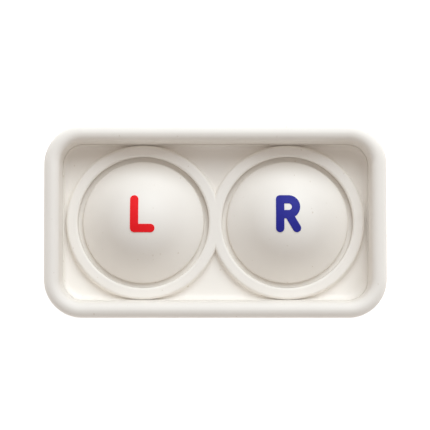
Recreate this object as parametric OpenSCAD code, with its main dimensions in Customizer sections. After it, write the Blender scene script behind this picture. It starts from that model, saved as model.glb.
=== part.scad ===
// Contact lens case: an open tray that holds a lift-out deck with two lens wells.
// Each well is a collar on the deck, a bowl-shaped cup hung in it, and a domed
// press-in lid with a ring seal and a coloured left or right mark.
// Millimetres, +Z up, +X to the wearer's right, origin on the table under the middle.

/* [Tray] */
// Length over the rim
tray_l = 70; // [70:0.5:80]
// Width over the rim
tray_w = 39.3; // [39.3:0.1:46]
// Height from the table to the top of the rim
tray_h = 20; // [20:0.5:24]
// Outer corner radius, seen from above
corner_r = 7.9; // [7:0.1:9]
// Wall thickness at the rim, which is a full round
rim_t = 3.2; // [2.9:0.1:3.3]
// Thickness of the tray's floor
floor_t = 1.6; // [1.4:0.1:2]
// Depth of the panel recessed into the underside
foot_recess = 0.4; // [0.2:0.1:0.6]

/* [Deck and collars] */
// Depth of the deck's top below the rim
deck_drop = 8.2; // [7.8:0.1:8.4]
// Thickness of the deck
deck_t = 1.6; // [1.4:0.1:2]
// Radius of the cove where the deck turns up to meet the tray's wall
cove_r = 1.3; // [0.8:0.1:1.4]
// Distance between the two wells' axes
well_pitch = 29.8; // [29.4:0.1:30.4]
// Height of the collars above the deck
collar_h = 1.7; // [1.4:0.1:2]
// Radial thickness of a collar
collar_t = 2.4; // [2.3:0.05:2.4]
// Radius that softens a collar's two top edges
collar_edge = 0.65; // [0.3:0.05:0.8]
// Radius of the fillet at the foot of a collar
collar_foot = 0.5; // [0.2:0.1:0.8]

/* [Lids] */
// Diameter of a lid's dome
dome_d = 25.1; // [24.5:0.1:25.1]
// Height of the dome above the lid's flange
dome_h = 8.2; // [7.5:0.1:8.5]
// Slope of the dome's skirt, in degrees from level
dome_slope = 41; // [40:1:43]
// Radius round the dome's edge
dome_edge = 0.65; // [0.4:0.05:0.8]
// Width of the groove between the dome and its collar
groove_w = 1; // [0.9:0.05:1]
// Depth of that groove below the collar's top
groove_d = 2; // [1.7:0.1:2.1]
// Thickness of the lid's flange and of its dome
lid_t = 1; // [0.8:0.1:1.2]

/* [Cups and seals] */
// Bore of a cup where the lid's plug enters it
cup_d = 21.8; // [20:0.1:21.8]
// Thickness of a cup's wall
cup_t = 0.9; // [0.7:0.1:1]
// Radius of the bowl at the bottom of a cup
bowl_r = 13.5; // [13:0.1:15]
// Thickness of a seal ring's round section
seal_t = 1.04; // [0.9:0.02:1.1]

/* [Marks] */
// Height of a letter
mark_h = 7.6; // [5:0.1:9]
// Width of a letter's stroke
mark_stroke = 1.7; // [1:0.1:2]
// Distance from the dome's top to the middle of the letter
mark_shift = 1.6; // [0:0.1:2]

/* [Hidden] */
$fn = 96;

LEFT = -1;
RIGHT = 1;
FIBRE = "#f0eae2";
CUP_WHITE = "#f7f7f4";
SEAL_GREY = "#e4e6e6";
RED = "#ec1c24";
BLUE = "#2c2c92";
eps = 0.01;

// Plan of the tray: every outline is the same four corner arcs, grown or shrunk.
corner_x = tray_l / 2 - corner_r;
corner_y = tray_w / 2 - corner_r;
rim_r = rim_t / 2;
outer_draft = 0.4;    // the outer wall leans in this much from rim to foot
inner_draft = 0.4;    // the inner wall leans in this much from rim to ledge
ledge_w = 0.7;        // the ledge that the deck sits on
foot_r = 1.5;         // round between the outer wall and the underside
foot_w = 4.4;         // width of the ring that the tray stands on
wall_rim = corner_r - rim_t;
wall_ledge = wall_rim - inner_draft;
wall_low = wall_ledge - ledge_w;
deck_clear = 0.08;    // gap between the deck's edge and the tray's wall
lip_t = 0.15;         // flat top of the deck's turned-up edge

// Heights, from the rim down.
deck_top = tray_h - deck_drop;
deck_low = deck_top - deck_t;
collar_top = deck_top + collar_h;
flange_top = collar_top - groove_d;
flange_low = flange_top - lid_t;
cup_lip_t = 0.8;
seat_z = flange_low - cup_lip_t;
cup_low = floor_t + 0.2;
sleeve_low = floor_t + 4.7;
lip_z = deck_top + cove_r;

// Radii of one well, from the outside in.
dome_r = dome_d / 2;
bore_r = dome_r + groove_w;
collar_r = bore_r + collar_t;
slip = 0.08;          // radial gap round a lid's flange
snug = 0.1;           // radial gap round a fitted piece
cup_in = cup_d / 2;
cup_out = cup_in + cup_t;
plug_r = cup_in - 0.3;
plug_t = 1.3;
plug_depth = 2.4;
post_r = 1.6;
sleeve_t = 1.2;       // wall of the stepped sleeve that holds a cup
rib_t = 1;            // ribs that stiffen the deck
cup_ribs = 8;         // ribs that keep a lens off the bowl
cup_rib_w = 0.6;
cup_rib_h = 0.35;

// The seal sits in a square groove round the plug, just touching the cup's bore.
seal_r = seal_t / 2;
seal_z = flange_low - plug_depth / 2 - 0.1;
seal_mid = cup_in - seal_r - 0.04;
seal_bed = seal_mid - seal_r - 0.02;
seal_slot = seal_t + 0.16;

// The dome is a ball's cap on a straight skirt, which runs smoothly into the rounded edge.
dome_side = 0.55;     // upright side of the dome under the round
edge_mid = dome_r - dome_edge;
edge_z = flange_top + dome_side;
dome_top = flange_top + dome_h;
skirt_z = edge_z + dome_edge / cos(dome_slope) + edge_mid * tan(dome_slope);
ball_r = (skirt_z - dome_top) / (1 / cos(dome_slope) - 1);
ball_z = dome_top - ball_r;
mark_film = 0.1;      // thickness of the coloured film

// Outline of the tray's plan at a given corner radius.
module plan(r) {
    square([2 * corner_x, 2 * (corner_y + r)], center = true);
    square([2 * (corner_x + r), 2 * corner_y], center = true);
    for (sx = [-1, 1], sy = [-1, 1])
        translate([sx * corner_x, sy * corner_y]) circle(r);
}

module plate(r, low, high) {
    translate([0, 0, low]) linear_extrude(high - low) plan(r);
}

// Carries a wall's section round the tray's four sides and four corners.
module round_the_tray() {
    for (end = [0, 1]) rotate([0, 0, 180 * end]) {
        translate([corner_x, 0, 0]) rotate([90, 0, 0])
            linear_extrude(2 * corner_y, center = true) children();
        translate([0, corner_y, 0]) rotate([90, 0, 90])
            linear_extrude(2 * corner_x, center = true) children();
        translate([corner_x, corner_y, 0])
            rotate_extrude(angle = 90) children();
        translate([-corner_x, corner_y, 0]) rotate([0, 0, 90])
            rotate_extrude(angle = 90) children();
    }
}

// Distance from the corner's centre to the inner wall at a height above the ledge.
function wall_at(z) =
    wall_ledge + inner_draft * (z - deck_low) / (tray_h - rim_r - deck_low);

// Section of the tray's wall: x from the corner's centre, y up from the table.
module wall_section() {
    translate([corner_r - rim_r, tray_h - rim_r]) circle(rim_r);
    polygon([
        [corner_r, tray_h - rim_r],
        [wall_rim, tray_h - rim_r],
        [wall_ledge, deck_low],
        [wall_low, deck_low],
        [wall_low, foot_r],
        [corner_r - outer_draft, foot_r]
    ]);
    translate([wall_low, 0])
        square([corner_r - outer_draft - foot_r - wall_low, foot_r + eps]);
    translate([corner_r - outer_draft - foot_r, foot_r]) circle(foot_r);
}

module outer_tray() {
    color(FIBRE) {
        difference() {
            union() {
                round_the_tray() wall_section();
                plate(wall_low + eps, 0, floor_t);
            }
            plate(corner_r - outer_draft - foot_w, -eps, foot_recess);
        }
        for (sx = [-1, 1], sy = [-1, 1])
            translate([sx * corner_x, sy * corner_y, floor_t - eps])
                cylinder(deck_low - floor_t + eps, r = post_r);
    }
}

// Puts its children on the left or right well's axis.
module at_well(side) {
    translate([side * well_pitch / 2, 0, 0]) children();
}

// Section of the deck's edge, which turns up in a cove and leans with the wall.
module deck_edge_section() {
    cove_x = wall_at(lip_z) - deck_clear - lip_t - cove_r;
    difference() {
        polygon([
            [cove_x - 1, deck_low],
            [wall_at(deck_low) - deck_clear, deck_low],
            [wall_at(lip_z) - deck_clear, lip_z],
            [cove_x, lip_z],
            [cove_x, deck_top],
            [cove_x - 1, deck_top]
        ]);
        translate([cove_x, lip_z]) circle(cove_r);
    }
}

// A collar without its bore: an upright ring with rounded top edges and a filleted foot.
module collar() {
    rotate_extrude() {
        square([collar_r, collar_top - collar_edge]);
        square([collar_r - collar_edge, collar_top]);
        translate([collar_r - collar_edge, collar_top - collar_edge])
            circle(collar_edge);
        difference() {
            translate([collar_r - eps, deck_top - eps])
                square(collar_foot + eps);
            translate([collar_r + collar_foot, deck_top + collar_foot])
                circle(collar_foot);
        }
    }
}

// Everything that a well takes out of the deck, with the bore's edge rounded.
module well_bore() {
    translate([0, 0, sleeve_low - eps]) cylinder(tray_h, r = cup_out + snug);
    translate([0, 0, seat_z]) cylinder(collar_top, r = bore_r);
    translate([0, 0, collar_top - collar_edge]) rotate_extrude()
        difference() {
            translate([bore_r - eps, 0])
                square([collar_edge + eps, 2 * collar_edge]);
            translate([bore_r + collar_edge, 0]) circle(collar_edge);
        }
}

module well_deck() {
    shelf_z = seat_z - sleeve_t;
    color(FIBRE) difference() {
        union() {
            plate(wall_low - cove_r, deck_low, deck_top);
            round_the_tray() deck_edge_section();
            for (side = [LEFT, RIGHT]) {
                intersection() {
                    at_well(side) collar();
                    plate(wall_at(deck_low) - deck_clear, deck_top - eps, tray_h);
                }
                at_well(side) translate([0, 0, shelf_z])
                    cylinder(deck_low - shelf_z + eps, r = bore_r + sleeve_t);
                at_well(side) translate([0, 0, sleeve_low])
                    cylinder(shelf_z - sleeve_low + eps, r = cup_out + snug + sleeve_t);
            }
            translate([-well_pitch / 2, -rib_t / 2, sleeve_low])
                cube([well_pitch, rib_t, deck_low - sleeve_low + eps]);
        }
        for (side = [LEFT, RIGHT]) at_well(side) well_bore();
    }
}

module cup_bowl(wall) {
    intersection() {
        translate([0, 0, cup_low + cup_t + bowl_r]) sphere(bowl_r + wall);
        translate([0, 0, cup_low]) cylinder(tray_h, r = cup_in + wall);
    }
}

// Low ribs across the bottom of the bowl, which let solution under the lens.
module cup_rib_set() {
    bowl_z = cup_low + cup_t + bowl_r;
    intersection() {
        difference() {
            translate([0, 0, bowl_z]) sphere(bowl_r + eps);
            translate([0, 0, bowl_z]) sphere(bowl_r - cup_rib_h);
        }
        for (turn = [0 : 360 / cup_ribs : 359])
            rotate([0, 0, turn])
                translate([cup_in / 5, -cup_rib_w / 2, cup_low])
                    cube([cup_in / 2, cup_rib_w, cup_in]);
    }
}

module cup() {
    color(CUP_WHITE) {
        difference() {
            union() {
                intersection() {
                    cup_bowl(cup_t);
                    cylinder(seat_z + cup_lip_t, r = bore_r);
                }
                translate([0, 0, seat_z]) cylinder(cup_lip_t, r = bore_r - snug);
            }
            cup_bowl(0);
        }
        cup_rib_set();
    }
}

module seal() {
    color(SEAL_GREY) translate([0, 0, seal_z]) rotate_extrude()
        translate([seal_mid, 0]) circle(seal_r);
}

// Half section of everything under the dome's outer skin, or under one set in from it.
module dome_section(inset) {
    reach = (ball_r - inset) * sin(dome_slope);
    meet_z = ball_z + (ball_r - inset) * cos(dome_slope);
    foot_x = edge_mid + dome_edge * sin(dome_slope);
    intersection() {
        translate([0, ball_z]) circle(ball_r - inset);
        translate([0, meet_z]) square([reach, dome_h]);
    }
    polygon([
        [0, flange_low],
        [foot_x, flange_low],
        [foot_x, meet_z - (foot_x - reach) * tan(dome_slope)],
        [reach, meet_z],
        [0, meet_z + 1]
    ]);
}

// Half section of a lid, solid: dome, rounded edge, flange and plug.
module lid_section() {
    dome_section(0);
    translate([edge_mid, edge_z]) circle(dome_edge);
    translate([0, flange_low]) square([dome_r, edge_z - flange_low]);
    translate([0, flange_low]) square([bore_r - slip, lid_t]);
    translate([0, flange_low - plug_depth]) square([plug_r, plug_depth + eps]);
}

module lid() {
    hollow_r = plug_r - plug_t;
    plug_low = flange_low - plug_depth;
    color(FIBRE) difference() {
        rotate_extrude() lid_section();
        rotate_extrude() intersection() {
            union() {
                dome_section(lid_t);
                translate([0, plug_low - 1]) square([hollow_r, plug_depth + 1 + eps]);
            }
            translate([0, plug_low - 1]) square([hollow_r, tray_h]);
        }
        translate([0, 0, seal_z - seal_slot / 2]) difference() {
            cylinder(seal_slot, r = plug_r + 1);
            translate([0, 0, -eps]) cylinder(seal_slot + 2 * eps, r = seal_bed);
        }
    }
}

// A straight stroke with round ends, from one point to another.
module stroke(from, to) {
    run = to - from;
    for (end = [from, to]) translate(end) circle(mark_stroke / 2);
    translate(from) rotate(atan2(run.y, run.x))
        translate([0, -mark_stroke / 2]) square([norm(run), mark_stroke]);
}

module letter_l() {
    top = (mark_h - mark_stroke) / 2;
    side = top * 0.56;
    stroke([-side, top], [-side, -top]);
    stroke([-side, -top], [side, -top]);
}

module letter_r() {
    top = (mark_h - mark_stroke) / 2;
    side = top * 0.58;
    bow = top * 0.52;
    stroke([-side, top], [-side, -top]);
    stroke([-side, top], [0, top]);
    stroke([-side, top - 2 * bow], [0, top - 2 * bow]);
    translate([0, top - bow]) intersection() {
        difference() {
            circle(bow + mark_stroke / 2);
            circle(bow - mark_stroke / 2);
        }
        translate([0, -mark_h / 2]) square([mark_h, mark_h]);
    }
    stroke([0, top - 2 * bow], [side, -top]);
}

// Coloured film on the dome: the part of a thin skin under the letter.
module mark(tint) {
    color(tint) intersection() {
        difference() {
            translate([0, 0, ball_z]) sphere(ball_r + mark_film);
            translate([0, 0, ball_z]) sphere(ball_r + eps / 2);
        }
        translate([0, mark_shift, flange_top]) linear_extrude(tray_h) children();
    }
}

outer_tray();
well_deck();
at_well(LEFT) cup();  // left_cup
at_well(RIGHT) cup();  // right_cup
at_well(LEFT) seal();  // left_seal
at_well(RIGHT) seal();  // right_seal
at_well(LEFT) lid();  // left_lid
at_well(RIGHT) lid();  // right_lid
at_well(LEFT) mark(RED) letter_l();  // left_mark
at_well(RIGHT) mark(BLUE) letter_r();  // right_mark
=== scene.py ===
# %% [markdown]
# # A contact lens case, finished for the camera
# The object is a small case for contact lenses. An open tray holds a lift-out deck with
# two collared wells. A bowl-shaped cup hangs in each well, and a domed lid with a ring
# seal presses into it. The CAD model fixes every place and every size. This lesson builds
# the visible surfaces round it, with the soft edges and the finishes that a moulded part
# really has, and it never moves a CAD part.

# %% Load the fixed frame
import math

import bmesh
import bpy
from mathutils import Matrix, Vector


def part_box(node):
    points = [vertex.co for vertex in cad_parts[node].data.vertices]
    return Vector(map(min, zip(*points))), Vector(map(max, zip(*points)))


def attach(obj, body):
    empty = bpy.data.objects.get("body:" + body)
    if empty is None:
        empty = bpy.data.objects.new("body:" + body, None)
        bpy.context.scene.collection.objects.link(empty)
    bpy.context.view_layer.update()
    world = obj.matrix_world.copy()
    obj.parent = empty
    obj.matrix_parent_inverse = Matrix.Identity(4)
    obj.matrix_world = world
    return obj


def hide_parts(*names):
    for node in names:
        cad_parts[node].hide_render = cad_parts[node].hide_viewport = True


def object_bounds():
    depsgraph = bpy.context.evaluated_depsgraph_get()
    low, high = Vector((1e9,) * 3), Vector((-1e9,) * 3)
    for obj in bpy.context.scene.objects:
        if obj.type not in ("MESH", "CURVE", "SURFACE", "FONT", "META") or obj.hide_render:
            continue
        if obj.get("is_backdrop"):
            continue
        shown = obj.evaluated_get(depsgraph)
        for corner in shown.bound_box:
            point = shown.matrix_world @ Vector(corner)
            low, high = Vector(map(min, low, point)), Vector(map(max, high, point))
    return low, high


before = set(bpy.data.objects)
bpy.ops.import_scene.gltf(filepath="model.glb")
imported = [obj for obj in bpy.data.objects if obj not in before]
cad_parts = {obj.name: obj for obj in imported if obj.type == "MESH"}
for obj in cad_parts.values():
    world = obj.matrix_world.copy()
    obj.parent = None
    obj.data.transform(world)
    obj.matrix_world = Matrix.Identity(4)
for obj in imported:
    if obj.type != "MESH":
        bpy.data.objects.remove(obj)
cad_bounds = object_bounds()
print("CAD nodes:", ", ".join(sorted(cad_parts)))

# %% [markdown]
# ## Sizes
# Blender works in metres and a moulder works in millimetres, so every size below is
# written in millimetres times MM. Overall sizes are read from the frame's boxes. What a
# box can't tell, such as a wall's thickness, is a named value. The alternative, typing
# every coordinate, would drift away from the CAD model at the first change to it.

# %% Sizes that the frame's boxes give
MM = 0.001

tray_x, tray_y, TRAY_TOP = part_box("outer_tray")[1]
deck_corner, deck_top_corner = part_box("well_deck")
cup_corner, cup_top_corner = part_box("right_cup")
lid_corner, lid_top_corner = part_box("right_lid")
seal_corner, seal_top_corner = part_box("right_seal")

COLLAR_TOP = deck_top_corner.z
SLEEVE_LOW = deck_corner.z
WELL_X = (lid_corner.x + lid_top_corner.x) / 2
FLANGE_R = (lid_top_corner.x - lid_corner.x) / 2
DOME_TOP = lid_top_corner.z
PLUG_LOW = lid_corner.z
LIP_R = (cup_top_corner.x - cup_corner.x) / 2
CUP_LOW = cup_corner.z
CUP_TOP = cup_top_corner.z
SEAL_R = (seal_top_corner.x - seal_corner.x) / 2
SEAL_T = seal_top_corner.z - seal_corner.z
SEAL_Z = (seal_top_corner.z + seal_corner.z) / 2
print(f"tray {tray_x / MM * 2:.1f} x {tray_y / MM * 2:.1f} x {TRAY_TOP / MM:.1f} mm")
print(f"well axes at x = +-{WELL_X / MM:.2f} mm, dome top at {DOME_TOP / MM:.2f} mm")

# %% Sizes that the boxes can't tell
CORNER_R = 7.9 * MM
RIM_T = 3.2 * MM
DRAFT = 0.4 * MM
LEDGE_W = 0.7 * MM
FLOOR_T = 1.6 * MM
FOOT_R = 1.5 * MM
FOOT_W = 4.4 * MM
RECESS = 0.4 * MM
POST_R = 1.6 * MM
PIN_R = 1.5 * MM
PIN_X = 20 * MM
PIN_Y = 9 * MM
PIN_DENT = 0.08 * MM
DECK_T = 1.6 * MM
DECK_GAP = 0.02 * MM
LIP_T = 0.15 * MM
COVE_R = 1.3 * MM
COLLAR_H = 1.7 * MM
COLLAR_T = 2.4 * MM
COLLAR_EDGE = 0.65 * MM
MOUTH_EDGE = 0.55 * MM
COLLAR_FOOT = 0.5 * MM
GROOVE_W = 1.0 * MM
SLIP = 0.08 * MM
LID_GAP = 0.02 * MM
SNUG = 0.1 * MM
SLEEVE_T = 1.2 * MM
CUP_LIP = 0.8 * MM
LID_T = 1.0 * MM
DOME_EDGE = 0.65 * MM
DOME_SIDE = 0.55 * MM
DOME_SLOPE = math.radians(41)
CUP_R = 10.9 * MM
CUP_T = 0.9 * MM
BOWL_R = 13.5 * MM
PLUG_R = 10.6 * MM
PLUG_T = 1.3 * MM

DECK_TOP = COLLAR_TOP - COLLAR_H
DECK_LOW = DECK_TOP - DECK_T
LIP_Z = DECK_TOP + COVE_R
BORE_R = FLANGE_R + SLIP
COLLAR_R = BORE_R + COLLAR_T
SEAT_Z = CUP_TOP - CUP_LIP
FLANGE_TOP = CUP_TOP + LID_T
DOME_R = BORE_R - GROOVE_W
corner_x = tray_x - CORNER_R
corner_y = tray_y - CORNER_R

# %% [markdown]
# ## Tools for turned and swept shapes
# A mould for a part like this is cut from a few profiles. Each piece here starts the same
# way: a wire profile with sharp corners, whose corners are then rounded with a vertex
# bevel, so the outline keeps only the points that its shape needs. Spinning the profile
# makes the solid. Lathe work by hand-placed rings of vertices would look the same, but
# nobody could change a radius in it afterwards.

# %% A wire profile with rounded corners
ARC_STEPS = 8


def edges_of(verts):
    """The edges that meet verts, each once, always in the same order."""
    return list(dict.fromkeys(e for v in verts for e in v.link_edges))


def rounded_wire(bm, corners, place):
    """An open wire through corners of (u, v, radius), each rounded; returns its parts."""
    before = set(bm.verts)
    verts = [bm.verts.new(place(u, v)) for u, v, _ in corners]
    for pair in zip(verts, verts[1:]):
        bm.edges.new(pair)
    for i, (u, v, radius) in enumerate(corners):
        if not radius:
            continue
        here = Vector((u, v))
        to_last = Vector(corners[i - 1][:2]) - here
        to_next = Vector(corners[i + 1][:2]) - here
        reach = radius / math.tan(to_last.angle(to_next) / 2)
        bmesh.ops.bevel(
            bm, geom=[verts[i]], offset=reach, offset_type="OFFSET",
            segments=ARC_STEPS, profile=0.5, affect="VERTICES", material=-1,
        )
    new_verts = [v for v in bm.verts if v not in before]
    return new_verts + edges_of(new_verts)


def ball_arc(centre_z, radius, r_from, r_to, steps, up):
    """Points (r, z, 0) along a ball's upper or lower half, between two distances off axis."""
    first, last = math.asin(r_from / radius), math.asin(r_to / radius)
    angles = [first + (last - first) * i / steps for i in range(steps + 1)]
    return [(radius * math.sin(a), centre_z + up * radius * math.cos(a), 0) for a in angles]


# %% Spin a profile about a well's axis
SPIN_STEPS = 128


def spun(bm, corners, axis_x, steps=SPIN_STEPS):
    """Turns a profile of (r, z, radius) all the way round the upright axis at axis_x."""
    section = rounded_wire(bm, corners, lambda r, z: (axis_x + r, 0, z))
    bmesh.ops.spin(
        bm, geom=section, cent=(axis_x, 0, 0), axis=(0, 0, 1),
        angle=math.tau, steps=steps, use_merge=True,
    )
    bmesh.ops.remove_doubles(bm, verts=bm.verts[:], dist=0.002 * MM)


# %% Turn a finished bmesh into a piece of the object
SHARP = math.radians(32)


def make_piece(name, bm, body, node):
    """Finishes a mesh: normals out, smooth shading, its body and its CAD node."""
    bmesh.ops.recalc_face_normals(bm, faces=bm.faces[:])
    open_count = sum(not e.is_manifold for e in bm.edges)
    mesh = bpy.data.meshes.new(name)
    bm.to_mesh(mesh)
    bm.free()
    mesh.shade_smooth()
    mesh.set_sharp_from_angle(angle=SHARP)
    piece = bpy.data.objects.new(name, mesh)
    bpy.context.scene.collection.objects.link(piece)
    piece.modifiers.new("even_shading", "WEIGHTED_NORMAL").keep_sharp = True
    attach(piece, body)
    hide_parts(node)
    print(f"{name}: {len(mesh.polygons)} faces, {open_count} open edges")
    return piece


# %% [markdown]
# ## The tray
# The tray is one injection-moulded shell with a full-round rim, walls that lean a little
# so it leaves the mould, a ledge for the deck and a ring to stand on. The ledge and four
# posts carry the deck, and five shallow round marks underneath show where pins pushed the
# tray out of its mould.

# %% Sweep a section round one corner and mirror it
CORNER_STEPS = 24


def swept(bm, corners):
    """Carries a section, given from the corner's centre, round all four sides of the tray."""
    section = rounded_wire(bm, corners, lambda r, z: (corner_x + r, corner_y, z))
    first = [g for g in section if isinstance(g, bmesh.types.BMEdge)]
    turned = bmesh.ops.spin(
        bm, geom=section, cent=(corner_x, corner_y, 0), axis=(0, 0, 1),
        angle=math.radians(90), steps=CORNER_STEPS,
    )
    last = [g for g in turned["geom_last"] if isinstance(g, bmesh.types.BMEdge)]
    pull(bm, first, (0, -corner_y, 0))
    pull(bm, last, (-corner_x, 0, 0))
    for axis in "XY":
        everything = bm.verts[:] + bm.edges[:] + bm.faces[:]
        bmesh.ops.mirror(bm, geom=everything, merge_dist=1e-6, axis=axis)
    bmesh.ops.remove_doubles(bm, verts=bm.verts[:], dist=0.001 * MM)


def pull(bm, edges, offset):
    """Extrudes edges into a strip of faces, along offset."""
    strip = bmesh.ops.extrude_edge_only(bm, edges=edges)["geom"]
    moved = [g for g in strip if isinstance(g, bmesh.types.BMVert)]
    bmesh.ops.translate(bm, verts=moved, vec=offset)
    return [g for g in strip if isinstance(g, bmesh.types.BMEdge)]


def open_edges(bm, z):
    """The edges at height z that have a face on one side only."""
    return [e for e in bm.edges if e.is_boundary and all(abs(v.co.z - z) < 1e-7 for v in e.verts)]


# %% The tray's wall, floor and posts
WALL_RIM = CORNER_R - RIM_T
WALL_LEDGE = WALL_RIM - DRAFT
RIM_MID = TRAY_TOP - RIM_T / 2


def wall_at(z):
    """Distance from the corner's centre to the inner wall, at a height above the ledge."""
    return WALL_LEDGE + DRAFT * (z - DECK_LOW) / (RIM_MID - DECK_LOW)


def wall_corners():
    """The wall's section, from the floor over the rim to the foot and the underside."""
    inner = WALL_LEDGE - LEDGE_W
    foot = CORNER_R - DRAFT
    full_round = RIM_T / 2 - 0.002 * MM
    stand = foot - FOOT_W
    return [
        (inner - 1.0 * MM, FLOOR_T, 0),
        (inner, FLOOR_T, 0.5 * MM),
        (inner, DECK_LOW, 0.1 * MM),
        (WALL_LEDGE, DECK_LOW, 0),
        (WALL_RIM, RIM_MID, 0),
        (WALL_RIM, TRAY_TOP, full_round),
        (CORNER_R, TRAY_TOP, full_round),
        (CORNER_R, RIM_MID, 0),
        (foot, 0, FOOT_R),
        (stand, 0, 0.15 * MM),
        (stand, RECESS, 0.15 * MM),
        (stand - 1.0 * MM, RECESS, 0),
    ]


def fill_round_studs(bm, z, spots, radius, height):
    """Fills the flat face at height z, with a round stud or dimple at each spot."""
    rings = []
    for x, y in spots:
        place = Matrix.Translation((x, y, z))
        made = bmesh.ops.create_circle(bm, cap_ends=False, segments=32, radius=radius, matrix=place)
        rings.append(edges_of(made["verts"]))
    outline = open_edges(bm, z) + [e for ring in rings for e in ring]
    bmesh.ops.triangle_fill(bm, use_beauty=True, edges=outline)
    for ring in rings:
        top = pull(bm, ring, (0, 0, height))
        bmesh.ops.edgeloop_fill(bm, edges=top)


tray = bmesh.new()
swept(tray, wall_corners())
posts = [(sx * corner_x, sy * corner_y) for sx in (-1, 1) for sy in (-1, 1)]
pins = [(sx * PIN_X, sy * PIN_Y) for sx in (-1, 1) for sy in (-1, 1)]
fill_round_studs(tray, FLOOR_T, posts, POST_R, DECK_LOW - FLOOR_T)
fill_round_studs(tray, RECESS, pins + [(0, 0)], PIN_R, PIN_DENT)
tray_shell = make_piece("tray_shell", tray, "tray", "outer_tray")

# %% [markdown]
# ## The deck
# The deck is a thin plate whose edge turns up in a cove to meet the tray's wall. Two raised
# collars grow into each other in the middle, with flush tops and a sharp notch in front and
# behind, and below them a stepped sleeve holds each cup. Every part of it is swept or
# turned, as before. The parts are then joined by Booleans, because the cove runs into the
# collars along curves that no single sweep can follow. The solver is Manifold, which wants
# closed solids, so the column and the plate get their end faces before they join.

# %% Solids that the deck is joined from
def edge_corners():
    """The deck's edge: along its top, up the cove, over the lip, down and back underneath."""
    lip_in = wall_at(LIP_Z) - DECK_GAP - LIP_T
    inside = lip_in - COVE_R - 0.5 * MM
    return [
        (inside, DECK_TOP, 0),
        (lip_in, DECK_TOP, COVE_R - 0.05 * MM),
        (lip_in, LIP_Z, 0.04 * MM),
        (lip_in + LIP_T, LIP_Z, 0.04 * MM),
        (wall_at(DECK_LOW) - DECK_GAP, DECK_LOW, 0.04 * MM),
        (inside, DECK_LOW, 0),
    ]


def collar_corners():
    """A collar without its bore, from inside the plate over the top to the axis."""
    return [
        (0, DECK_TOP - 0.5 * MM, 0),
        (COLLAR_R + COLLAR_FOOT, DECK_TOP - 0.5 * MM, 0),
        (COLLAR_R + COLLAR_FOOT, DECK_TOP - 0.01 * MM, 0),
        (COLLAR_R, DECK_TOP - 0.01 * MM, COLLAR_FOOT * 0.99),
        (COLLAR_R, COLLAR_TOP, COLLAR_EDGE),
        (0, COLLAR_TOP, 0),
    ]


def sleeve_corners():
    """The stepped sleeve under the deck, without its bore."""
    shelf_z = SEAT_Z - SLEEVE_T
    guide = CUP_R + CUP_T + SNUG + SLEEVE_T
    shelf = BORE_R + SLEEVE_T
    return [
        (0, SLEEVE_LOW, 0),
        (guide, SLEEVE_LOW, 0.25 * MM),
        (guide, shelf_z, 0.3 * MM),
        (shelf, shelf_z, 0.25 * MM),
        (shelf, DECK_LOW + 0.5 * MM, 0),
        (0, DECK_LOW + 0.5 * MM, 0),
    ]


def bore_corners():
    """What a well takes out: the cup's bore, the seat and the mouth with its soft edge."""
    hole = CUP_R + CUP_T + SNUG
    mouth = BORE_R + MOUTH_EDGE + 0.1 * MM
    brink = COLLAR_TOP + 0.005 * MM
    return [
        (0, SLEEVE_LOW - MM, 0),
        (hole, SLEEVE_LOW - MM, 0),
        (hole, SEAT_Z, 0),
        (BORE_R, SEAT_Z, 0.1 * MM),
        (BORE_R, brink, MOUTH_EDGE),
        (mouth, brink, 0),
        (mouth, COLLAR_TOP + MM, 0),
        (0, COLLAR_TOP + MM, 0),
    ]


# %% Join the deck
def loose_solid(name, bm):
    """A plain closed object for a Boolean."""
    bmesh.ops.recalc_face_normals(bm, faces=bm.faces[:])
    mesh = bpy.data.meshes.new(name)
    bm.to_mesh(mesh)
    bm.free()
    solid = bpy.data.objects.new(name, mesh)
    bpy.context.scene.collection.objects.link(solid)
    return solid


def turned_solid(name, corners, axis_x):
    """A profile turned about a well's axis, as a plain closed object."""
    bm = bmesh.new()
    spun(bm, corners, axis_x)
    return loose_solid(name, bm)


def combine(base, steps):
    """Applies Booleans to base in turn, deletes the tools, and returns the result as a bmesh."""
    for operation, tool in steps:
        boolean = base.modifiers.new(operation, "BOOLEAN")
        boolean.operation = operation
        boolean.solver = "MANIFOLD"
        boolean.object = tool
    shape = base.evaluated_get(bpy.context.evaluated_depsgraph_get())
    bm = bmesh.new()
    bm.from_mesh(shape.to_mesh())
    shape.to_mesh_clear()
    for used in [base] + [tool for _, tool in steps]:
        bpy.data.objects.remove(used)
    return bm


column = bmesh.new()
rim_of_column = wall_at(DECK_LOW) - DECK_GAP - 0.01 * MM
swept(column, [(rim_of_column, DECK_LOW, 0), (rim_of_column, TRAY_TOP, 0)])
for z in (DECK_LOW, TRAY_TOP):
    bmesh.ops.edgeloop_fill(column, edges=open_edges(column, z))
plate = bmesh.new()
swept(plate, edge_corners())
for z in (DECK_TOP, DECK_LOW):
    bmesh.ops.edgeloop_fill(plate, edges=open_edges(plate, z))

collar = turned_solid("collar", collar_corners(), -WELL_X)
steps = [("UNION", turned_solid("collar", collar_corners(), WELL_X))]
steps.append(("INTERSECT", loose_solid("column", column)))
steps.append(("UNION", loose_solid("plate", plate)))
for axis_x in (-WELL_X, WELL_X):
    steps.append(("UNION", turned_solid("sleeve", sleeve_corners(), axis_x)))
for axis_x in (-WELL_X, WELL_X):
    steps.append(("DIFFERENCE", turned_solid("bore", bore_corners(), axis_x)))
deck = combine(collar, steps)
bmesh.ops.remove_doubles(deck, verts=deck.verts[:], dist=0.002 * MM)
bmesh.ops.dissolve_degenerate(deck, edges=deck.edges[:], dist=0.001 * MM)
deck_plate = make_piece("deck_plate", deck, "deck", "well_deck")

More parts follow.
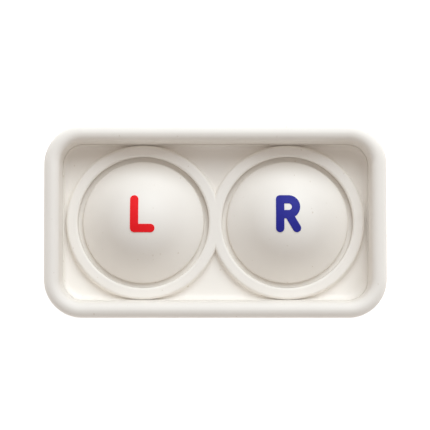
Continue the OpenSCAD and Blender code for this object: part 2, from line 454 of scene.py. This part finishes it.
# %% [markdown]
# ## The cups
# Each cup holds a lens in its solution. It hangs by its lip on the seat in the deck, and
# its bottom is a bowl, so that a lens can't fold flat against it. Low ribs fan out from
# the middle and let the solution reach the lens's underside. The ribs are faces of the
# bowl, extruded and drawn in towards the bowl's centre, so the cup stays one closed skin.

# %% Turn the cups and raise their ribs
RIBS = 8
RIB_H = 0.35 * MM
RIB_FROM = 2.4 * MM
RIB_TO = 7.6 * MM
CUP_STEPS = 96


def cup_corners():
    """A cup's section, from the middle of its underside round the lip to the bowl's middle."""
    centre_z = CUP_LOW + CUP_T + BOWL_R
    outside = ball_arc(centre_z, BOWL_R + CUP_T, 0, CUP_R + CUP_T, 20, -1)
    inside = ball_arc(centre_z, BOWL_R, CUP_R, 0, 24, -1)
    lip = [
        (CUP_R + CUP_T, SEAT_Z, 0.08 * MM),
        (LIP_R, SEAT_Z, 0.08 * MM),
        (LIP_R, CUP_TOP, 0.15 * MM),
        (CUP_R, CUP_TOP, 0.2 * MM),
    ]
    return outside + lip + inside


def raise_ribs(bm, axis_x):
    """Lifts a fan of ribs out of the bowl."""
    centre = Vector((axis_x, 0, CUP_LOW + CUP_T + BOWL_R))
    spacing = math.tau / RIBS
    half_width = 1.1 * math.tau / CUP_STEPS
    chosen = []
    for face in bm.faces:
        out = face.calc_center_median() - centre
        reach = math.hypot(out.x, out.y)
        off_rib = abs((math.atan2(out.y, out.x) + spacing / 2) % spacing - spacing / 2)
        on_bowl = abs(out.length - BOWL_R) < 0.1 * MM
        if on_bowl and RIB_FROM < reach < RIB_TO and off_rib < half_width:
            chosen.append(face)
    made = bmesh.ops.extrude_face_region(bm, geom=chosen)["geom"]
    bmesh.ops.delete(bm, geom=chosen, context="FACES")
    tops = [g for g in made if isinstance(g, bmesh.types.BMVert)]
    shrink = (BOWL_R - RIB_H) / BOWL_R
    bmesh.ops.scale(bm, verts=tops, vec=(shrink,) * 3, space=Matrix.Translation(-centre))


cups = []
for side, sign in (("left", -1), ("right", 1)):
    cup = bmesh.new()
    spun(cup, cup_corners(), sign * WELL_X, CUP_STEPS)
    raise_ribs(cup, sign * WELL_X)
    cups.append(make_piece(f"{side}_lens_cup", cup, "deck", f"{side}_cup"))

# %% [markdown]
# ## The lids
# A lid is a dome that nearly reaches the tray's rim, a thin flange that lies at the bottom
# of the groove inside the collar, and a hollow plug that presses into the cup. The dome is
# a ball's cap on a straight skirt. The ball's radius follows from the dome's height and the
# skirt's slope, so the one runs into the other without a kink, as on a lathe drawing.

# %% Turn the lids
def lid_corners():
    """A lid's section, from the dome's middle round the flange and the plug to the hollow."""
    cosine, tangent = math.cos(DOME_SLOPE), math.tan(DOME_SLOPE)
    edge_z = FLANGE_TOP + DOME_SIDE
    skirt_z = edge_z + DOME_EDGE / cosine + (DOME_R - DOME_EDGE) * tangent
    ball = (skirt_z - DOME_TOP) / (1 / cosine - 1)
    centre_z = DOME_TOP - ball
    inner = ball - LID_T
    bed = SEAL_R - SEAL_T - 0.02 * MM
    slot = SEAL_T / 2 + 0.08 * MM
    hollow = PLUG_R - PLUG_T
    brim = BORE_R - LID_GAP
    roof_r = inner * math.sin(DOME_SLOPE)
    roof_z = centre_z + inner * cosine - (hollow - roof_r) * tangent
    return (
        ball_arc(centre_z, ball, 0, ball * math.sin(DOME_SLOPE), 24, 1)
        + [
            (DOME_R, skirt_z - DOME_R * tangent, DOME_EDGE),
            (DOME_R, FLANGE_TOP, 0.12 * MM),
            (brim, FLANGE_TOP, 0.03 * MM),
            (brim, CUP_TOP, 0.1 * MM),
            (PLUG_R, CUP_TOP, 0.1 * MM),
            (PLUG_R, SEAL_Z + slot, 0.05 * MM),
            (bed, SEAL_Z + slot, 0),
            (bed, SEAL_Z - slot, 0),
            (PLUG_R, SEAL_Z - slot, 0.05 * MM),
            (PLUG_R, PLUG_LOW, 0.3 * MM),
            (hollow, PLUG_LOW, 0.15 * MM),
            (hollow, roof_z, 0.5 * MM),
        ]
        + ball_arc(centre_z, inner, roof_r, 0, 20, 1)
    )


lids = []
for side, sign in (("left", -1), ("right", 1)):
    lid = bmesh.new()
    spun(lid, lid_corners(), sign * WELL_X)
    lids.append(make_piece(f"{side}_domed_lid", lid, f"{side}_cap", f"{side}_lid"))

# %% [markdown]
# ## The seals
# Each seal is a silicone ring of round section in the plug's groove. A turned circle is
# all it needs.

# %% Turn the seals
SEAL_SIDES = 20

seals = []
for side, sign in (("left", -1), ("right", 1)):
    seal = bmesh.new()
    upright = Matrix.Rotation(math.radians(90), 4, "X")
    place = Matrix.Translation((sign * WELL_X + SEAL_R - SEAL_T / 2, 0, SEAL_Z)) @ upright
    bmesh.ops.create_circle(
        seal, cap_ends=False, segments=SEAL_SIDES, radius=SEAL_T / 2, matrix=place,
    )
    bmesh.ops.spin(
        seal, geom=seal.verts[:] + seal.edges[:], cent=(sign * WELL_X, 0, 0), axis=(0, 0, 1),
        angle=math.tau, steps=SPIN_STEPS, use_merge=True,
    )
    seals.append(make_piece(f"{side}_seal_ring", seal, f"{side}_ring", f"{side}_seal"))

# %% [markdown]
# ## Colours and nodes
# Colours are chosen as sRGB hex, the way a paint chart lists them, and one function turns
# them into the linear values that the renderer adds up. One small function adds a node
# with its settings and its links, so that each material below reads as a recipe.

# %% Two helpers for every material
def linear(hex_code):
    """Linear RGBA from an sRGB hex colour."""
    parts = [int(hex_code[i:i + 2], 16) / 255 for i in (1, 3, 5)]
    return [p / 12.92 if p <= 0.04045 else ((p + 0.055) / 1.055) ** 2.4 for p in parts] + [1.0]


def add(tree, kind, inputs, **settings):
    """A new node with its settings; an input takes a value, or a socket to link from."""
    made = tree.nodes.new(kind)
    for name, value in settings.items():
        setattr(made, name, value)
    for name, value in inputs.items():
        if isinstance(value, bpy.types.NodeSocket):
            tree.links.new(value, made.inputs[name])
        else:
            made.inputs[name].default_value = value
    return made


def new_material(name):
    """An empty node material, its tree and the object's own coordinates."""
    material = bpy.data.materials.new(name)
    material.use_nodes = True
    tree = material.node_tree
    tree.nodes.clear()
    return material, tree, add(tree, "ShaderNodeTexCoord", {}).outputs["Object"]


def dress(material, *pieces):
    """Puts one material on each piece."""
    for piece in pieces:
        piece.data.materials.clear()
        piece.data.materials.append(material)
        print(f"{piece.name}: {material.name}")


# %% [markdown]
# ## Plant-fibre polypropylene
# The tray, the deck and the lids are polypropylene filled with ground plant fibre, moulded
# against a spark-eroded steel surface. That gives a warm off-white with a dull, even
# sheen, faint clouds of tone, and a few tan flecks where a fibre lies at the surface.

# %% Moulded plant-fibre polypropylene
CLOUD_MM = 9.0
FLECK_MM = 1.7
WOBBLE_MM = 1.2
BEND_MM = 0.9
GRAIN_MM = 0.22


def flecked_colour(tree, coords):
    """The socket of a cloudy off-white with a few bent tan flecks in it."""
    clouds = add(
        tree, "ShaderNodeTexNoise",
        {"Vector": coords, "Scale": 1 / (CLOUD_MM * MM), "Detail": 3.0},
    )
    tone = add(
        tree, "ShaderNodeMix",
        {"Factor": clouds.outputs["Fac"], 6: linear("#f3eee7"), 7: linear("#f8f3ec")},
        data_type="RGBA",
    )
    wobble = add(
        tree, "ShaderNodeTexNoise",
        {"Vector": coords, "Scale": 1 / (WOBBLE_MM * MM), "Detail": 1.0},
    )
    bent = add(
        tree, "ShaderNodeVectorMath",
        {0: wobble.outputs["Color"], 1: (BEND_MM * MM,) * 3, 2: coords},
        operation="MULTIPLY_ADD",
    )
    cells = add(
        tree, "ShaderNodeTexVoronoi",
        {"Vector": bent.outputs["Vector"], "Scale": 1 / (FLECK_MM * MM)},
        feature="F1",
    )
    speck = add(
        tree, "ShaderNodeMapRange",
        {
            "Value": cells.outputs["Distance"], "From Min": 0.05, "From Max": 0.13,
            "To Min": 1.0, "To Max": 0.0,
        },
    )
    pick = add(tree, "ShaderNodeSeparateColor", {"Color": cells.outputs["Color"]})
    strength = add(
        tree, "ShaderNodeMapRange",
        {
            "Value": pick.outputs["Red"], "From Min": 0.45, "From Max": 1.0,
            "To Min": 0.0, "To Max": 0.4,
        },
    )
    mask = add(
        tree, "ShaderNodeMath", {0: speck.outputs["Result"], 1: strength.outputs["Result"]},
        operation="MULTIPLY",
    )
    mixed = add(
        tree, "ShaderNodeMix",
        {"Factor": mask.outputs["Value"], 6: tone.outputs[2], 7: linear("#b39a78")},
        data_type="RGBA",
    )
    return mixed.outputs[2]


def eroded_skin(tree, coords, colour):
    """Ends a tree with a dull shader whose sheen and bump come from one fine grain."""
    grain = add(
        tree, "ShaderNodeTexNoise",
        {"Vector": coords, "Scale": 1 / (GRAIN_MM * MM), "Detail": 2.0},
    )
    sheen = add(
        tree, "ShaderNodeMapRange",
        {"Value": grain.outputs["Fac"], "To Min": 0.5, "To Max": 0.66},
    )
    texture = add(
        tree, "ShaderNodeBump",
        {"Height": grain.outputs["Fac"], "Strength": 0.25, "Distance": 0.02 * MM},
    )
    shader = add(
        tree, "ShaderNodeBsdfPrincipled",
        {
            "Base Color": colour, "Roughness": sheen.outputs["Result"],
            "Normal": texture.outputs["Normal"], "IOR": 1.49,
        },
    )
    add(tree, "ShaderNodeOutputMaterial", {"Surface": shader.outputs["BSDF"]})


fibre_plastic, tree, coords = new_material("moulded_fibre_polypropylene")
eroded_skin(tree, coords, flecked_colour(tree, coords))
dress(fibre_plastic, tray_shell, deck_plate)

# %% [markdown]
# The lids are the same plastic, with one thing more: painted shade in the groove. The
# flange and the foot of the dome are painted darker, in place of the shade that falls in
# the narrow groove inside the collar. This painted shade follows the height in the lid's
# own mesh, so it stays with the lid when it lifts.

# %% The same plastic with painted shade in the groove
lid_plastic, tree, coords = new_material("moulded_fibre_polypropylene_groove_shade")
height = add(tree, "ShaderNodeSeparateXYZ", {"Vector": coords})
above = add(
    tree, "ShaderNodeMapRange",
    {
        "Value": height.outputs["Z"], "From Min": FLANGE_TOP + 0.1 * MM,
        "From Max": FLANGE_TOP + 0.8 * MM, "To Min": 0.15, "To Max": 0.0,
    },
)
below = add(
    tree, "ShaderNodeMapRange",
    {"Value": height.outputs["Z"], "From Min": CUP_TOP + 0.2 * MM, "From Max": CUP_TOP + 0.8 * MM},
)
# Painted shade: up to 15 % of the way to a darker tone, on the flange and the dome's foot.
painted_groove_shade = add(
    tree, "ShaderNodeMath", {0: above.outputs["Result"], 1: below.outputs["Result"]},
    operation="MULTIPLY",
)
# Mixes the painted groove shade into the plastic's own colour.
shaded = add(
    tree, "ShaderNodeMix",
    {"Factor": painted_groove_shade.outputs["Value"], 6: flecked_colour(tree, coords), 7: linear("#b7ab9a")},
    data_type="RGBA",
)
eroded_skin(tree, coords, shaded.outputs[2])
dress(lid_plastic, *lids)

# %% [markdown]
# ## Plain polypropylene, silicone and ink
# The cups are unfilled polypropylene, milky and a little glossy. The seals are silicone,
# softer to the light and greyer. The letters are pad-printed ink: a thin satin film whose
# tone varies slightly where the pad pressed harder.

# %% Milky polypropylene
milky, tree, coords = new_material("natural_polypropylene")
FLOW_MM = 6.0
flow = add(
    tree, "ShaderNodeTexNoise",
    {"Vector": coords, "Scale": 1 / (FLOW_MM * MM), "Detail": 2.0},
)
colour = add(
    tree, "ShaderNodeMix",
    {"Factor": flow.outputs["Fac"], 6: linear("#f1f2ef"), 7: linear("#fafaf8")},
    data_type="RGBA",
)
shader = add(
    tree, "ShaderNodeBsdfPrincipled",
    {
        "Base Color": colour.outputs[2], "Roughness": 0.28, "IOR": 1.49,
        "Subsurface Weight": 0.2, "Subsurface Scale": 0.001,
    },
)
add(tree, "ShaderNodeOutputMaterial", {"Surface": shader.outputs["BSDF"]})
dress(milky, *cups)

# %% Silicone rubber
silicone, tree, coords = new_material("silicone_rubber")
DUST_MM = 0.5
dust = add(
    tree, "ShaderNodeTexNoise",
    {"Vector": coords, "Scale": 1 / (DUST_MM * MM), "Detail": 3.0},
)
colour = add(
    tree, "ShaderNodeMix",
    {"Factor": dust.outputs["Fac"], 6: linear("#d9dcdc"), 7: linear("#e6e9e9")},
    data_type="RGBA",
)
shader = add(
    tree, "ShaderNodeBsdfPrincipled",
    {
        "Base Color": colour.outputs[2], "Roughness": 0.42, "IOR": 1.41,
        "Subsurface Weight": 0.3, "Subsurface Scale": 0.0008,
    },
)
add(tree, "ShaderNodeOutputMaterial", {"Surface": shader.outputs["BSDF"]})
dress(silicone, *seals)

# %% Pad-printed ink
PRESS_MM = 0.8

for side, thin, full in (("left", "#f81c26", "#f00812"), ("right", "#2a2c98", "#1e208c")):
    ink, tree, coords = new_material(f"pad_printed_ink_{side}")
    press = add(
        tree, "ShaderNodeTexNoise",
        {"Vector": coords, "Scale": 1 / (PRESS_MM * MM), "Detail": 3.0},
    )
    colour = add(
        tree, "ShaderNodeMix",
        {"Factor": press.outputs["Fac"], 6: linear(thin), 7: linear(full)},
        data_type="RGBA",
    )
    shader = add(
        tree, "ShaderNodeBsdfPrincipled",
        {"Base Color": colour.outputs[2], "Roughness": 0.6, "Specular IOR Level": 0.25},
    )
    add(tree, "ShaderNodeOutputMaterial", {"Surface": shader.outputs["BSDF"]})
    dress(ink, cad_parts[f"{side}_mark"])

# %% [markdown]
# ## Floor, light and camera
# A product table: a white surface that glows a little from below, one large soft lamp
# high behind the case and slightly to its right, and a fill of light all round. The lamp
# is slightly cool and the fill slightly warm, which makes the shaded side of the plastic
# look warmer than the lit side. The camera looks almost straight down from 400 mm, two
# degrees off the vertical.

# %% White table
FLOOR_SIZE = 3.0
TABLE_GLOW = 0.62

floor_mesh = bmesh.new()
bmesh.ops.create_grid(floor_mesh, x_segments=1, y_segments=1, size=FLOOR_SIZE / 2)
floor_data = bpy.data.meshes.new("table")
floor_mesh.to_mesh(floor_data)
floor_mesh.free()
table = bpy.data.objects.new("table", floor_data)
bpy.context.scene.collection.objects.link(table)
white, tree, coords = new_material("white_acrylic_table")
haze = add(tree, "ShaderNodeTexNoise", {"Vector": coords, "Scale": 4.0})
colour = add(
    tree, "ShaderNodeMix",
    {"Factor": haze.outputs["Fac"], 6: linear("#f4f4f4"), 7: linear("#f8f8f8")},
    data_type="RGBA",
)
shader = add(
    tree, "ShaderNodeBsdfPrincipled",
    {
        "Base Color": colour.outputs[2], "Roughness": 0.9,
        "Emission Color": (1, 1, 1, 1), "Emission Strength": TABLE_GLOW,
    },
)
add(tree, "ShaderNodeOutputMaterial", {"Surface": shader.outputs["BSDF"]})
dress(white, table)
table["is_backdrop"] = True

# %% Lamp and surroundings
LAMP_AWAY = 0.7
LAMP_RISE = math.radians(44.5)
LAMP_SIDE = math.radians(17)
LAMP_SIZE = 0.58
LAMP_WATTS = 3.75
LAMP_TINT = (0.86, 0.94, 1.0)
FILL_TINT = (1.0, 0.93, 0.88, 1)
FILL_STRENGTH = 0.445

target = Vector((0, 0, TRAY_TOP / 2))
aim = Vector((
    math.cos(LAMP_RISE) * math.sin(LAMP_SIDE),
    math.cos(LAMP_RISE) * math.cos(LAMP_SIDE),
    math.sin(LAMP_RISE),
))
lamp_data = bpy.data.lights.new("softbox", "AREA")
lamp_data.shape = "DISK"
lamp_data.size = LAMP_SIZE
lamp_data.energy = LAMP_WATTS
lamp_data.color = LAMP_TINT
lamp = bpy.data.objects.new("softbox", lamp_data)
lamp.location = target + aim * LAMP_AWAY
lamp.rotation_euler = aim.to_track_quat("Z", "Y").to_euler()
bpy.context.scene.collection.objects.link(lamp)
world = bpy.data.worlds.new("white_room")
world.use_nodes = True
background = world.node_tree.nodes["Background"]
background.inputs["Color"].default_value = FILL_TINT
background.inputs["Strength"].default_value = FILL_STRENGTH
bpy.context.scene.world = world

# %% Camera
CAMERA_AWAY = 0.4
CAMERA_RISE = math.radians(88)
VIEW_WIDTH = 87.4 * MM

look_at = Vector((-0.08 * MM, 1.28 * MM, TRAY_TOP))
back = Vector((0, -math.cos(CAMERA_RISE), math.sin(CAMERA_RISE)))
camera_data = bpy.data.cameras.new("camera")
camera_data.lens = camera_data.sensor_width * CAMERA_AWAY / VIEW_WIDTH
camera = bpy.data.objects.new("camera", camera_data)
camera.location = look_at + back * CAMERA_AWAY
camera.rotation_euler = (math.radians(90) - CAMERA_RISE, 0, 0)
bpy.context.scene.collection.objects.link(camera)
bpy.context.scene.camera = camera
bpy.context.scene.view_settings.view_transform = "Standard"
print(f"lens {camera_data.lens:.1f} mm at {CAMERA_AWAY / MM:.0f} mm")

# %% [markdown]
# ## Both boxes
# The visible model must stay inside the CAD model's box, so both boxes are printed side
# by side.

# %% Print both boxes
boxes = {
    "cad": [list(corner) for corner in cad_bounds],
    "visual": [list(corner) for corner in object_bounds()],
}
for name, (low, high) in boxes.items():
    print(name, [round((b - a) / MM, 3) for a, b in zip(low, high)], "mm")
